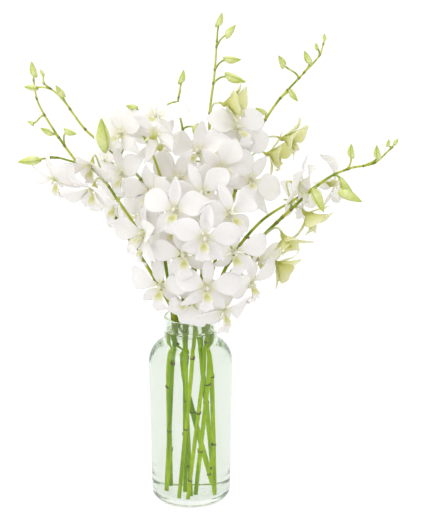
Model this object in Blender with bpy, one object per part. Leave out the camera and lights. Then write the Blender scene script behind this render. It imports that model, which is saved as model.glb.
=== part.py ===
"""Ten cut dendrobium orchid stems standing in water in a bottle-shaped glass vase.

The origin is the middle of the vase's foot, on the surface it stands on. +Z is up, +X is the
right-hand side seen from the front, and the front looks along -Y. Lengths are in millimetres
until a mesh is made, which turns them to metres.
"""

import math
import random

import bmesh
import bpy
from mathutils import Matrix, Vector
from mathutils.bvhtree import BVHTree

MM = 0.001
UP = Vector((0.0, 0.0, 1.0))
GAP = 0.3  # between pieces that touch

# The vase
VASE_HEIGHT = 220.0
NECK_RADIUS = 29.8
NECK_FOOT = 190.0  # where the neck meets the shoulder
SHOULDER_RADIUS = 48.0
SHOULDER_FOOT = 163.0  # where the shoulder meets the wall
HEEL_RADIUS = 45.8  # the wall draws in a little towards the foot
HEEL_ROUND = 8.0
WALL = 2.8
FLOOR = 6.0
FLOOR_ROUND = 2.5
RIM_ROUND = 2.5
VASE_SIDES = 24
WATER_LEVEL = 205.0

# The stems
CUT_END = FLOOR + 0.9  # a leaning stem rests the lower edge of its cut end on the glass
NECK_LEVEL = 207.0  # a stem is straight from its cut end up to here
STEM_RADIUS = 1.9  # up to there, and then it thins towards its tip
TIP_RADIUS = 0.9
STEM_SIDES = 6
STEM_STEP = 46.0  # between the rings of a stem

# Where each stem's cut end stands, and its route from the neck up to its last bud
STEMS = {
    "left_arch": ((15, 21), [(-14, 12), (-43, 15, 263), (-74, 28, 309), (-102, 40, 352), (-138, 50, 399),
                             (-157, 52, 428), (-170, 52, 454), (-173, 48, 478)]),
    "left_high": ((-15, 21), [(-19, 0), (-26, -4, 273), (-37, -8, 335), (-51, -8, 376), (-86, -4, 410),
                              (-112, -2, 432), (-138, 4, 466), (-156, 8, 480)]),
    "left_low": ((-21, 0), [(-15, -12), (-29, -20, 264), (-50, -30, 316), (-73, -38, 358), (-99, -45, 396),
                            (-131, -50, 410), (-146, -52, 413)]),
    "left_middle": ((0, -16), [(-6, -17), (-9, -26, 271), (-15, -30, 330), (-27, -28, 374), (-41, -26, 416),
                               (-52, -28, 438), (-54, -28, 458)]),
    "middle_thin": ((-5, 1), [(-4, 8), (3, 14, 269), (5, 24, 340), (-1, 29, 395), (-9, 30, 432),
                              (-13, 30, 456), (-10, 30, 470)]),
    "middle_tall": ((21, -6), [(5, 16), (13, 22, 262), (20, 26, 345), (22, 25, 404), (22, 22, 446),
                               (27, 18, 488), (30, 15, 531)]),
    "right_high": ((24, -19), [(14, 13), (20, 17, 245), (43, 38, 328), (69, 48, 405), (95, 48, 451),
                               (124, 44, 485), (142, 41, 506), (146, 40, 519)]),
    "right_wide": ((-3, -29), [(17, -9), (41, -13, 266), (68, -20, 305), (105, -26, 345), (146, -25, 382),
                               (172, -23, 394), (198, -20, 399), (216, -19, 415)]),
    "right_back": ((4, -10), [(20, 0), (39, 9, 271), (77, 19, 322), (123, 28, 351), (150, 30, 369)]),
    "front": ((-12, -26), [(5, -20), (4, -30, 256), (8, -48, 300), (12, -60, 345)]),
}

# A bloom seen from its front, upper sepal at 90 degrees. A blade is its angle, its stations from
# the root outwards, each a reach, half width, height in front and lift of its edges, and its tip,
# a reach, half width and height in front. Edges without a lift have no midrib between them.
BLADE = 0.9  # the blades' thickness
ROOT_HALF = 1.5
HUB_RADIUS = 4.2
COLUMN_FRONT = 6.0
ROOT_BACK = 11.0  # from a bloom's middle back to its stalk
UPPER_SEPAL = (90, [(14, 6.2, -1.6, None), (25, 5.6, -2.6, None)], (34, 0.0, -4.5))
LOWER_SEPALS = [(angle, [(17, 7.4, -2.0, None)], (34, 0.0, -5.0)) for angle in (226, 314)]
PETALS = [(angle, [(14, 10.5, 2.0, 0.6), (26, 13.0, 2.6, 1.6)], (35, 5.0, 2.0)) for angle in (21, 159)]
LIP = (270, [(9, 7.0, 6.5, 4.0), (16, 8.5, 8.0, 1.0)], (23, 3.5, 5.5))
LIP_FRONT = 2.2  # the lip springs from a little in front of the other blades
LIP_TILT = 0.4  # and follows this share of their tilt

# How far forward the blades of a kind of bloom tilt, in degrees, and its size
KINDS = {"open": (0, 1.0), "cupped": (24, 0.95), "swept": (-14, 1.0), "opening": (44, 0.85)}

# Each bloom: its stem, where its middle is held, which way it looks as a bearing from the front
# towards the right and an elevation, its kind, and how far its upper sepal turns from upright
BLOOMS = [
    ("left_low", (-31, -62, 274), (-12, -8), "open", 0),
    ("front", (2, -56, 254), (-6, -20), "open", -112),
    ("left_middle", (-14, -86, 364), (-14, 12), "open", 0),
    ("front", (21, -84, 277), (8, -6), "open", 0),
    ("right_wide", (37, -68, 251), (42, -16), "swept", -25),
    ("right_wide", (66, -42, 272), (50, -30), "swept", 15),
    ("right_back", (80, -6, 284), (60, -20), "cupped", 0),
    ("front", (47, -80, 316), (22, -16), "open", 0),
    ("front", (44, -84, 356), (34, 16), "open", 15),
    ("front", (18, -102, 340), (-4, -6), "open", -10),
    ("left_middle", (-8, -84, 318), (-18, -2), "open", 12),
    ("left_middle", (-12, -74, 344), (-20, 6), "open", -15),
    ("left_low", (-41, -62, 334), (-35, -6), "cupped", 25),
    ("left_middle", (-40, -60, 421), (165, 20), "swept", 0),
    ("left_high", (-67, -24, 436), (-30, 25), "cupped", 10),
    ("left_middle", (-42, -10, 438), (5, 25), "open", -30),
    ("left_low", (-103, -56, 404), (-25, -50), "cupped", 0),
    ("left_low", (-106, -70, 388), (-25, -35), "cupped", 20),
    ("left_low", (-139, -66, 395), (-60, -20), "swept", 10),
    ("left_arch", (-83, 0, 349), (-35, -25), "cupped", 0),
    ("left_arch", (-95, 20, 392), (-50, 15), "open", 20),
    ("middle_tall", (44, 4, 464), (70, 5), "opening", 0),
    ("middle_tall", (44, -4, 442), (30, 12), "open", 15),
    ("middle_tall", (12, -14, 412), (-26, 24), "open", 10),
    ("right_high", (58, 4, 417), (40, 18), "open", -10),
    ("middle_thin", (28, -42, 402), (0, 12), "cupped", 30),
    ("right_high", (59, -34, 386), (44, -4), "open", -25),
    ("front", (12, -72, 374), (0, 8), "open", 10),
    ("middle_thin", (-8, -22, 392), (-8, 10), "open", -10),
    ("right_wide", (112, -26, 385), (62, -14), "open", 5),
    ("right_wide", (158, -4, 378), (100, -8), "swept", 20),
    ("right_wide", (128, -30, 345), (60, -35), "opening", 0),
    ("right_wide", (102, -36, 322), (50, -45), "opening", 20),
    ("right_back", (96, -4, 284), (70, -30), "opening", 30),
    ("right_high", (106, 40, 415), (75, -5), "opening", 10),
    ("right_high", (97, 56, 396), (80, -10), "opening", 0),
    ("left_arch", (-58, 0, 301), (-70, -14), "swept", 15),
    ("left_high", (-43, -44, 369), (-40, 5), "cupped", 0),
    ("left_high", (-66, -20, 383), (-60, 0), "open", 0),
    ("middle_thin", (-20, 58, 350), (190, 5), "open", 0),
    ("middle_thin", (-34, 50, 404), (200, 15), "open", 20),
    ("middle_tall", (24, 72, 330), (170, 0), "open", -15),
    ("middle_tall", (28, 64, 386), (160, 12), "open", 10),
    ("right_high", (72, 88, 344), (140, 5), "open", 0),
    ("right_back", (118, 64, 338), (125, -8), "cupped", 0),
    ("left_arch", (-62, 68, 316), (210, 0), "open", -20),
    ("left_high", (-30, 46, 290), (200, -15), "open", 0),
]

# A bloom finds room by small moves and turns about its wanted place, which grow with each try
TRIES = 400
MOST_MOVE = 20.0
MOST_TURN = 42.0
STEEPEST = 70.0
CLEAR_BLADE = 2.0  # the blades' thickness while room is looked for
CLEAR_SIZE = 1.02
CLEAR_STALK = 0.5

# Each bud: its stem, where its middle is held, the way its tip points (x, y, z), and its length.
# A bud has a point at both ends: behind the place where its stalk joins it, it ends in a short chin.
BUDS = [
    ("left_arch", (-173, 46, 490), (-3, -1, 16), 19),
    ("left_arch", (-178, 50, 430), (-8, 0, 5), 9),
    ("left_arch", (-159, 36, 423), (-9, -3, 6), 17),
    ("left_arch", (-134, 44, 420), (9, -4, -2), 17),
    ("left_high", (-170, 8, 476), (-12, -2, 2), 16),
    ("left_high", (-158, 8, 492), (-4, 0, 7), 8),
    ("left_high", (-138, -6, 474), (-6, -3, 10), 17),
    ("left_high", (-90, -42, 434), (-1, -2, 14), 38),
    ("left_low", (-166, -54, 409), (-14, -2, -1), 25),
    ("left_middle", (-60, -34, 462), (-7, -4, 2), 14),
    ("middle_thin", (-8, 29, 484), (4, 0, 14), 17),
    ("middle_thin", (-30, 22, 454), (-8, -4, -1), 12),
    ("middle_thin", (6, 18, 428), (-2, -8, -8), 17),
    ("middle_tall", (33, 14, 547), (5, 0, 13), 17),
    ("middle_tall", (44, 10, 536), (9, -2, 12), 18),
    ("middle_tall", (46, 6, 506), (13, -3, 0), 20),
    ("middle_tall", (49, 4, 486), (15, -3, -5), 25),
    ("right_high", (147, 40, 526), (-1, -2, 7), 9),
    ("right_high", (138, 34, 517), (-2, -3, 8), 9),
    ("right_high", (128, 32, 505), (-5, -2, 10), 18),
    ("right_high", (101, 36, 500), (-4, -4, 9), 18),
    ("right_high", (114, 34, 463), (5, -3, -7), 16),
    ("right_high", (78, 34, 446), (-8, -4, 5), 16),
    ("right_wide", (221, -19, 422), (3, -1, 6), 9),
    ("right_wide", (212, -25, 422), (1, -2, 8), 9),
    ("right_wide", (200, -28, 412), (-2, -2, 11), 18),
    ("right_wide", (172, -30, 414), (-1, -3, 11), 18),
    ("right_wide", (136, -58, 368), (13, -4, -27), 29),
    ("right_wide", (170, -54, 371), (28, -4, -12), 28),
    ("right_back", (172, 22, 364), (9, -6, -8), 25),
]
BUD_SIDES = 5
# A bud's outline as shares of its length and of its radius
BUD_SHAPE = [(0.0, 0.25), (0.3, 1.0), (0.64, 0.78), (1.0, 0.12)]
BUD_JOINT = 0.3  # how far along its length the stalk joins it
BUD_LEAST = 0.8  # the radius of a bud of no length
BUD_GROWTH = 0.2  # and what each millimetre of length adds
BUD_STALK_LEAST = 4.0  # the stalk of a bud of no length
BUD_STALK_GROWTH = 0.8
TOP_BUD = 9.5  # a bud this near a stem's tip grows from the tip itself

# The stalk of a bloom or bud, an arch that leaves its stem upwards
STALK_SIDES = 4
STALK_RADIUS = 1.1
STALK_LENGTH = 30.0
LONGEST_STALK = 66.0
LOWEST_STALK = 14.0  # above the neck level
STALK_STEPS = 3
BUD_STALK_STEPS = 2

# Colour with its opacity, and roughness
COLOURS = {
    "glass": ((0.90, 0.97, 0.92, 0.3), 0.02),
    "water": ((0.88, 0.95, 0.90, 0.4), 0.02),
    "stem": ((0.36, 0.52, 0.10, 1.0), 0.45),
    "petal": ((0.93, 0.93, 0.90, 1.0), 0.55),
}


def clear_scene():
    for item in list(bpy.data.objects):
        bpy.data.objects.remove(item)


def make_material(name):
    colour, roughness = COLOURS[name]
    material = bpy.data.materials.new(name)
    material.use_nodes = True
    shader = material.node_tree.nodes["Principled BSDF"]
    shader.inputs["Base Color"].default_value = colour
    shader.inputs["Alpha"].default_value = colour[3]
    shader.inputs["Roughness"].default_value = roughness
    shader.inputs["Metallic"].default_value = 0.0
    return material


def make_object(name, bm, material):
    """The finished shape as an object in metres, with its faces pointing out."""
    bmesh.ops.recalc_face_normals(bm, faces=bm.faces[:])
    mesh = bpy.data.meshes.new(name)
    bm.to_mesh(mesh)
    bm.free()
    mesh.transform(Matrix.Scale(MM, 4))
    mesh.materials.append(material)
    item = bpy.data.objects.new(name, mesh)
    bpy.context.scene.collection.objects.link(item)
    return item


def apply_modifiers(item):
    graph = bpy.context.evaluated_depsgraph_get()
    mesh = bpy.data.meshes.new_from_object(item.evaluated_get(graph))
    item.modifiers.clear()
    item.data = mesh


def join_all(item, others):
    """One Boolean union of the item with all the others, applied, with the others then removed."""
    group = bpy.data.collections.new(item.name + "_repeats")
    bpy.context.scene.collection.children.link(group)
    for other in others:
        bpy.context.scene.collection.objects.unlink(other)
        group.objects.link(other)
    union = item.modifiers.new("repeats", "BOOLEAN")
    union.operation = "UNION"
    union.operand_type = "COLLECTION"
    union.collection = group
    apply_modifiers(item)
    for other in others:
        bpy.data.objects.remove(other)
    bpy.data.collections.remove(group)


def cut_out(item, cutter):
    cut = item.modifiers.new("cut", "BOOLEAN")
    cut.operation = "DIFFERENCE"
    cut.object = cutter
    apply_modifiers(item)
    bpy.data.objects.remove(cutter)


def dissolve_flat(item):
    """Merge the flat faces that a Boolean has split."""
    bm = bmesh.new()
    bm.from_mesh(item.data)
    bmesh.ops.dissolve_limit(bm, angle_limit=math.radians(0.05), verts=bm.verts[:], edges=bm.edges[:])
    bm.to_mesh(item.data)
    bm.free()


def smooth(item):
    item.data.shade_smooth()
    item.data.set_sharp_from_angle(angle=math.radians(40))


def turned(profile, sides):
    """A profile of (radius, height) spun about the vertical axis, with its open ends capped flat."""
    bm = bmesh.new()
    points = [bm.verts.new((radius, 0.0, height)) for radius, height in profile]
    edges = [bm.edges.new(pair) for pair in zip(points, points[1:])]
    bmesh.ops.spin(bm, geom=points + edges, cent=(0, 0, 0), axis=UP, angle=2 * math.pi,
                   steps=sides, use_merge=True)
    bmesh.ops.remove_doubles(bm, verts=bm.verts[:], dist=0.001)
    bmesh.ops.holes_fill(bm, edges=[edge for edge in bm.edges if edge.is_boundary])
    return bm


def quarter(centre, radii, start, steps):
    """A quarter ellipse about (radius, height) from an angle in degrees, without its first point."""
    points = []
    for step in range(1, steps + 1):
        angle = math.radians(start + 90 * step / steps)
        points.append((centre[0] + radii[0] * math.cos(angle), centre[1] + radii[1] * math.sin(angle)))
    return points


def vase_outside():
    """From the foot up to the rim."""
    shoulder = (SHOULDER_RADIUS - NECK_RADIUS, NECK_FOOT - SHOULDER_FOOT)
    foot = HEEL_RADIUS - HEEL_ROUND
    points = [(foot, 0)] + quarter((foot, HEEL_ROUND), (HEEL_ROUND, HEEL_ROUND), -90, 2)
    points += [(SHOULDER_RADIUS, SHOULDER_FOOT)] + quarter((NECK_RADIUS, SHOULDER_FOOT), shoulder, 0, 4)
    return points + [(NECK_RADIUS, VASE_HEIGHT - RIM_ROUND), (NECK_RADIUS - WALL / 2, VASE_HEIGHT)]


def vase_inside():
    """From the rim down to the floor."""
    neck = NECK_RADIUS - WALL
    shoulder = (SHOULDER_RADIUS - NECK_RADIUS, NECK_FOOT - SHOULDER_FOOT - WALL)
    points = [(neck, VASE_HEIGHT - RIM_ROUND), (neck, NECK_FOOT - WALL / 2)]
    points += quarter((neck, SHOULDER_FOOT), shoulder, 0, 3)[-2::-1]
    points += [(SHOULDER_RADIUS - WALL, SHOULDER_FOOT), (HEEL_RADIUS - WALL, FLOOR + HEEL_ROUND)]
    corner = HEEL_RADIUS - WALL - FLOOR_ROUND
    return points + [(corner, FLOOR + FLOOR_ROUND), (HEEL_RADIUS - WALL - HEEL_ROUND, FLOOR)]


def make_vase():
    shape = turned(vase_outside() + vase_inside(), VASE_SIDES)
    vase = make_object("glass_vase", shape, make_material("glass"))
    smooth(vase)
    return vase


def make_water(routes):
    """The water, a little clear of the glass, with a plain hole for each stem."""
    profile = [(NECK_RADIUS - WALL - GAP, WATER_LEVEL)]
    for radius, height in vase_inside():
        if height < WATER_LEVEL:
            profile.append((radius - GAP, height - GAP if height > SHOULDER_FOOT / 2 else height + GAP))
    water = make_object("water", turned(profile, VASE_SIDES), make_material("water"))
    holes = []
    for name, (foot, neck) in ((name, route[:2]) for name, route in routes.items()):
        lean = (neck - foot).normalized()
        ends = [foot - lean * FLOOR, neck + lean * FLOOR]
        hole = tube(ends, [STEM_RADIUS + 1.2 * GAP] * 2, STEM_SIDES)
        holes.append(make_object("hole_" + name, hole, water.data.materials[0]))
    join_all(holes[0], holes[1:])
    cut_out(water, holes[0])
    dissolve_flat(water)
    smooth(water)


def route_of(foot, upper):
    """A stem's line: straight up to the neck, then a smooth curve through its upper points."""
    base = Vector((foot[0], foot[1], CUT_END))
    points = [Vector((upper[0][0], upper[0][1], NECK_LEVEL))] + [Vector(point) for point in upper[1:]]
    before = base.lerp(points[0], 0.8)
    after = points[-1] * 2 - points[-2]
    line = [base, points[0]]
    for a, b, c, d in zip([before] + points, points, points[1:], points[2:] + [after]):
        steps = max(1, round((c - b).length / STEM_STEP))
        line += [curve_point(a, b, c, d, step / steps) for step in range(1, steps + 1)]
    return line


def curve_point(a, b, c, d, t):
    """A point between b and c on the smooth curve that also passes through a and d."""
    span = (c - b).length
    leaving = (c - a) * span / ((b - a).length + span)
    arriving = (d - b) * span / (span + (d - c).length)
    return (b * (2 * t**3 - 3 * t**2 + 1) + leaving * (t**3 - 2 * t**2 + t)
            + c * (3 * t**2 - 2 * t**3) + arriving * (t**3 - t**2))


def tube(points, radii, sides):
    """A closed tube along a line of points."""
    bm = bmesh.new()
    side = Vector((0.3, 1.0, 0.2))
    rings = []
    for i, (point, radius) in enumerate(zip(points, radii)):
        along = (points[min(i + 1, len(points) - 1)] - points[max(i - 1, 0)]).normalized()
        side = (side - along * side.dot(along)).normalized()
        other = along.cross(side)
        turns = [2 * math.pi * k / sides for k in range(sides)]
        spokes = [side * math.cos(a) + other * math.sin(a) for a in turns]
        rings.append([bm.verts.new(point + spoke * radius) for spoke in spokes])
    for lower, upper in zip(rings, rings[1:]):
        for k in range(sides):
            n = (k + 1) % sides
            bm.faces.new((lower[k], lower[n], upper[n]))
            bm.faces.new((lower[k], upper[n], upper[k]))
    bm.faces.new(rings[0])
    bm.faces.new(rings[-1])
    return bm


def stem_radii(route, extra=0.0):
    """A stem is thickest in the water and thins from the neck towards its last bud."""
    walked = [0.0, 0.0]
    for a, b in zip(route[1:], route[2:]):
        walked.append(walked[-1] + (b - a).length)
    return [STEM_RADIUS + (TIP_RADIUS - STEM_RADIUS) * far / walked[-1] + extra for far in walked]


def dense(route):
    """The stem's line above the neck, with a point every few millimetres."""
    points = []
    for a, b in zip(route[1:], route[2:]):
        steps = max(1, round((b - a).length / 4))
        points += [a.lerp(b, step / steps) for step in range(steps)]
    return [point for point in points if point.z > NECK_LEVEL + LOWEST_STALK] + [route[-1]]


def stalk_line(route, end, facing, steps, least):
    """The arch from a stem to the back of a bloom or bud, which looks along facing."""
    line = dense(route)
    root = min(range(len(line)), key=lambda i: (line[i] - end).length)
    while root > 0 and (line[root] - end).length < least:
        root -= 1
    start = line[root]
    along = (line[min(root + 1, len(line) - 1)] - line[max(root - 1, 0)]).normalized()
    reach = (end - start).length
    leaving = ((end - start).normalized() * 0.7 + along * 0.5).normalized()
    a = start + leaving * reach * 0.35
    b = end - facing * min(12.0, reach * 0.4)
    line_points = []
    for t in [step / steps for step in range(steps + 1)]:
        near_start = start * (1 - t)**3 + a * 3 * t * (1 - t)**2
        line_points.append(near_start + b * 3 * t * t * (1 - t) + end * t**3)
    return line_points


def bud_tubes(route, middle, pointing, length):
    """A bud and its stalk, each as points, radii and sides."""
    way = Vector(pointing).normalized()
    back = Vector(middle) - way * length / 2
    joint = back + way * length * BUD_JOINT
    near = min(route, key=lambda point: (point - joint).length)
    least = BUD_STALK_LEAST + BUD_STALK_GROWTH * length
    if (route[-1] - joint).length < TOP_BUD:
        least = 0.0
    arriving = (way * 0.5 + (joint - near).normalized()).normalized()
    stalk = stalk_line(route, joint, arriving, BUD_STALK_STEPS, least)
    thickest = BUD_LEAST + BUD_GROWTH * length
    bud = [back + way * length * share for share, _ in BUD_SHAPE]
    return [(stalk, [STALK_RADIUS] * len(stalk), STALK_SIDES),
            (bud, [thickest * width for _, width in BUD_SHAPE], BUD_SIDES)]


def blade_rows(blade, tilt, thickness):
    """A blade's front and back rows of points from its root outwards, each from left to right."""
    angle, stations, (tip_reach, tip_half, tip_front) = blade
    out = Vector((math.cos(math.radians(angle)), math.sin(math.radians(angle)), 0))
    across = Vector((-out.y, out.x, 0))
    lean = math.radians(tilt)
    last = (HUB_RADIUS, 0.0)
    rows = []
    for reach, half, front, lift in stations + [(tip_reach, tip_half, tip_front, None)]:
        far = reach - HUB_RADIUS
        radial = HUB_RADIUS + far * math.cos(lean) - front * math.sin(lean)
        height = far * math.sin(lean) + front * math.cos(lean)
        slope = Vector((radial - last[0], height - last[1])).normalized()
        offset = (UP * slope.x - out * slope.y) * thickness / 2
        middle = out * radial + UP * height
        edge = UP * (lift or 0.0)
        row = [middle + across * half + edge, middle - across * half + edge]
        if lift is not None:
            row.insert(1, middle)
        if half == 0.0:
            row = [middle]
        rows.append(([point + offset for point in row], [point - offset for point in row]))
        last = (radial, height)
    return rows


def strip(lower, upper):
    """Triangles between two rows of one, two or three points, which run left to right."""
    if len(lower) == 3 and len(upper) == 3:
        return strip(lower[:2], upper[:2]) + strip(lower[1:], upper[1:])
    if len(upper) == 1:
        return [(a, upper[0], b) for a, b in zip(lower, lower[1:])]
    if len(lower) == 3:
        left, middle, right = lower
        return [(left, upper[0], middle), (middle, upper[0], upper[1]), (middle, upper[1], right)]
    fan = [(lower[0], upper[0], upper[1]), (lower[0], upper[1], lower[1])]
    if len(upper) == 3:
        fan.append((lower[1], upper[1], upper[2]))
    return fan


def bloom_shape(kind, thickness, grow):
    """The points and triangles of a bloom, closed, its middle at the origin, looking along +Z."""
    tilt, size = KINDS[kind]
    blades = sorted([UPPER_SEPAL, LIP] + LOWER_SEPALS + PETALS)
    half_turn = math.asin(ROOT_HALF / HUB_RADIUS)
    points, triangles, hub = [], [], []

    def add(x, y, z):
        points.append(Vector((x, y, z)) * size * grow)
        return len(points) - 1

    for blade in blades:
        angle = math.radians(blade[0])
        front, lean = (LIP_FRONT, tilt * LIP_TILT) if blade is LIP else (0.0, tilt)
        sides = (angle + half_turn, angle - half_turn)
        corners = [(HUB_RADIUS * math.cos(a), HUB_RADIUS * math.sin(a)) for a in sides]
        fronts = [[add(x, y, front + thickness / 2) for x, y in corners]]
        backs = [[add(x, y, front - thickness / 2) for x, y in corners]]
        hub.append((fronts[0], backs[0]))
        for front_row, back_row in blade_rows(blade, lean, thickness):
            fronts.append([add(*point) for point in front_row])
            backs.append([add(*point) for point in back_row])
        for row in range(len(fronts) - 1):
            triangles += strip(fronts[row], fronts[row + 1])
            triangles += [face[::-1] for face in strip(backs[row], backs[row + 1])]
        front_edge = [row[0] for row in fronts] + [row[-1] for row in fronts[::-1] if len(row) > 1]
        back_edge = [row[0] for row in backs] + [row[-1] for row in backs[::-1] if len(row) > 1]
        for a, b, c, d in zip(front_edge, front_edge[1:], back_edge[1:], back_edge):
            triangles += [(a, d, c), (a, c, b)]

    column, back = add(0, 0, COLUMN_FRONT), add(0, 0, -ROOT_BACK)
    for (this_front, this_back), (next_front, next_back) in zip(hub, hub[1:] + hub[:1]):
        triangles += [(this_front[1], this_front[0], column), (this_front[0], next_front[1], column)]
        triangles += [(this_back[0], this_back[1], back), (next_back[1], this_back[0], back)]
        triangles += [(this_front[0], this_back[0], next_back[1])]
        triangles += [(this_front[0], next_back[1], next_front[1])]
    return points, triangles


def facing_of(bearing, elevation):
    a, e = math.radians(bearing), math.radians(elevation)
    return Vector((math.sin(a) * math.cos(e), -math.cos(a) * math.cos(e), math.sin(e)))


def place_of(centre, facing, roll):
    """The move and turn that take a bloom from the origin to its place."""
    up = (UP - facing * UP.dot(facing)).normalized()
    turn = Matrix((up.cross(facing), up, facing)).transposed().to_4x4()
    return Matrix.Translation(centre) @ turn @ Matrix.Rotation(math.radians(roll), 4, "Z")


def tree_of_tube(points, radii, sides):
    bm = tube(points, radii, sides)
    tree = BVHTree.FromBMesh(bm)
    bm.free()
    return tree


def find_room(number, routes, filled):
    """The first place near the wanted one where a bloom and its stalk are clear of what is there."""
    stem, centre, (bearing, elevation), kind, roll = BLOOMS[number]
    draw = random.Random(number)
    true_points, _ = bloom_shape(kind, BLADE, 1.0)
    points, triangles = bloom_shape(kind, CLEAR_BLADE, CLEAR_SIZE)
    for attempt in range(TRIES):
        share = (attempt / TRIES) ** 0.6
        move = Vector([draw.uniform(-1, 1) for _ in range(3)]) * MOST_MOVE * share
        turns = [draw.uniform(-1, 1) * MOST_TURN * share for _ in range(3)]
        facing = facing_of(bearing + turns[0], max(-STEEPEST, min(STEEPEST, elevation + turns[1])))
        place = place_of(Vector(centre) + move, facing, roll + turns[2])
        bloom = BVHTree.FromPolygons([place @ point for point in points], triangles)
        if any(bloom.overlap(tree) for _, tree in filled):
            continue
        end = place @ Vector((0, 0, -ROOT_BACK * KINDS[kind][1] - 1.5 * GAP))
        line = stalk_line(routes[stem], end, facing, STALK_STEPS, STALK_LENGTH)
        stalk = tree_of_tube(line, [STALK_RADIUS + CLEAR_STALK] * len(line), STALK_SIDES)
        if (line[0] - end).length > LONGEST_STALK:
            continue
        if any(stalk.overlap(tree) for owner, tree in filled if owner != stem):
            continue
        bloom = BVHTree.FromPolygons([place @ point for point in true_points], triangles)
        if not bloom.overlap(tree_of_tube(line, [STALK_RADIUS] * len(line), STALK_SIDES)):
            return place, line
    raise RuntimeError(f"bloom {number + 1} has no room")


def make_bloom_meshes():
    """One mesh for each kind of bloom, which all of that kind share."""
    petal = make_material("petal")
    meshes = {}
    for kind in KINDS:
        points, triangles = bloom_shape(kind, BLADE, 1.0)
        bm = bmesh.new()
        corners = [bm.verts.new(point) for point in points]
        for face in triangles:
            bm.faces.new([corners[i] for i in face])
        model = make_object("bloom_" + kind, bm, petal)
        meshes[kind] = model.data
        bpy.data.objects.remove(model)
    return meshes


def make_blooms(routes, filled):
    """Every bloom in its own node, and for each the line of its stalk, listed by stem."""
    meshes = make_bloom_meshes()
    stalks = {name: [] for name in STEMS}
    for number, (stem, _, _, kind, _) in enumerate(BLOOMS):
        place, line = find_room(number, routes, filled)
        points, triangles = bloom_shape(kind, BLADE, 1.0)
        filled.append((None, BVHTree.FromPolygons([place @ point for point in points], triangles)))
        filled.append((stem, tree_of_tube(line, [STALK_RADIUS] * len(line), STALK_SIDES)))
        stalks[stem].append(line)
        bloom = bpy.data.objects.new(f"bloom_{number + 1:02d}_{kind}", meshes[kind])
        bloom.matrix_world = Matrix.Scale(MM, 4) @ place @ Matrix.Scale(1 / MM, 4)
        bpy.context.scene.collection.objects.link(bloom)
    return stalks


def make_stem(name, route, stalks, buds, material):
    """A stem with its stalks and buds, as one green body."""
    stem = make_object("stem_" + name, tube(route, stem_radii(route), STEM_SIDES), material)
    repeats = []
    for line in stalks:
        stalk = tube(line, [STALK_RADIUS] * len(line), STALK_SIDES)
        repeats.append(make_object(f"stalk_of_{name}", stalk, material))
    for points, radii, sides in buds:
        repeats.append(make_object(f"bud_of_{name}", tube(points, radii, sides), material))
    join_all(stem, repeats)
    smooth(stem)


def main():
    clear_scene()
    routes = {name: route_of(foot, upper) for name, (foot, upper) in STEMS.items()}
    buds = {name: [] for name in STEMS}
    for stem, middle, pointing, length in BUDS:
        buds[stem] += bud_tubes(routes[stem], middle, pointing, length)
    vase = make_vase()
    make_water(routes)

    # What a bloom must stay clear of, each with the stem it belongs to
    corners = [corner.co / MM for corner in vase.data.vertices]
    filled = [(None, BVHTree.FromPolygons(corners, [face.vertices[:] for face in vase.data.polygons]))]
    for name, route in routes.items():
        filled.append((name, tree_of_tube(route, stem_radii(route, GAP), STEM_SIDES)))
        for points, radii, sides in buds[name]:
            filled.append((name, tree_of_tube(points, [radius + GAP for radius in radii], sides)))
    stalks = make_blooms(routes, filled)

    green = make_material("stem")
    for name, route in routes.items():
        make_stem(name, route, stalks[name], buds[name], green)


main()
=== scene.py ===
# %% [markdown]
# Cut dendrobium orchids in a glass bottle of water. The solids of the vase, the water, the ten
# stems and the forty-seven blooms come from the CAD frame, and stay where they are. This lesson
# gives each of them a finer shape and a living finish. It starts with the frame, because every
# piece takes its place from the solid that it stands for.

# %% Load the fixed frame
import math
import random

import bmesh
import bpy
from mathutils import Matrix, Vector, noise


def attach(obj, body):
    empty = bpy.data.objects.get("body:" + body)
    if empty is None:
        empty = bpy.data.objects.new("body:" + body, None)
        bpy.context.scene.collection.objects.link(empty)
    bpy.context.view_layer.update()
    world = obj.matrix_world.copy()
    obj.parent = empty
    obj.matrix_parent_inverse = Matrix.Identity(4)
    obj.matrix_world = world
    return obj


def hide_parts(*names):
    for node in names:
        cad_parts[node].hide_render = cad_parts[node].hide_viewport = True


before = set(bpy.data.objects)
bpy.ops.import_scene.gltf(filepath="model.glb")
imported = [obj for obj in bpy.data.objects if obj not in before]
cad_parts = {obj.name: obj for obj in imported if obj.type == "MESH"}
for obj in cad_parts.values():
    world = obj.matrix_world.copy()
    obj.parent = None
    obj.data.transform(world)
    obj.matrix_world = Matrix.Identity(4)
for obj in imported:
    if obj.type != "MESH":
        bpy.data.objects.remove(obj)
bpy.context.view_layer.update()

MM = 0.001
UP = Vector((0, 0, 1))

# %% [markdown]
# The camera goes first, so that every later choice can be compared with the picture. The photo
# looks down a little on the vase: its rim and water line are narrow ellipses. A long lens 1.4 m
# away keeps the sides of the vase upright, as they are there.

# %% Camera
CAMERA_PLACE = (0.025, -1.35, 0.685)
CAMERA_LOOKS_DOWN = 16.4  # degrees
CAMERA_LENS = 88.4  # mm, on a sensor 36 mm wide

lens = bpy.data.cameras.new("camera")
lens.lens = CAMERA_LENS
camera = bpy.data.objects.new("camera", lens)
camera.location = CAMERA_PLACE
camera.rotation_euler = (math.radians(90 - CAMERA_LOOKS_DOWN), 0, 0)
bpy.context.collection.objects.link(camera)
bpy.context.scene.camera = camera
print("camera at", CAMERA_PLACE)

# %% [markdown]
# Every finish below is built from nodes, so helpers for them come next. Colours are easiest to
# read as the hex values of a screen, but a renderer adds light in linear numbers, so the first
# helper turns one into the other. The rest add nodes: any node with its settings and inputs, the
# two that start a material, noise whose patches have a real size, and a ramp of colours.

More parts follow.
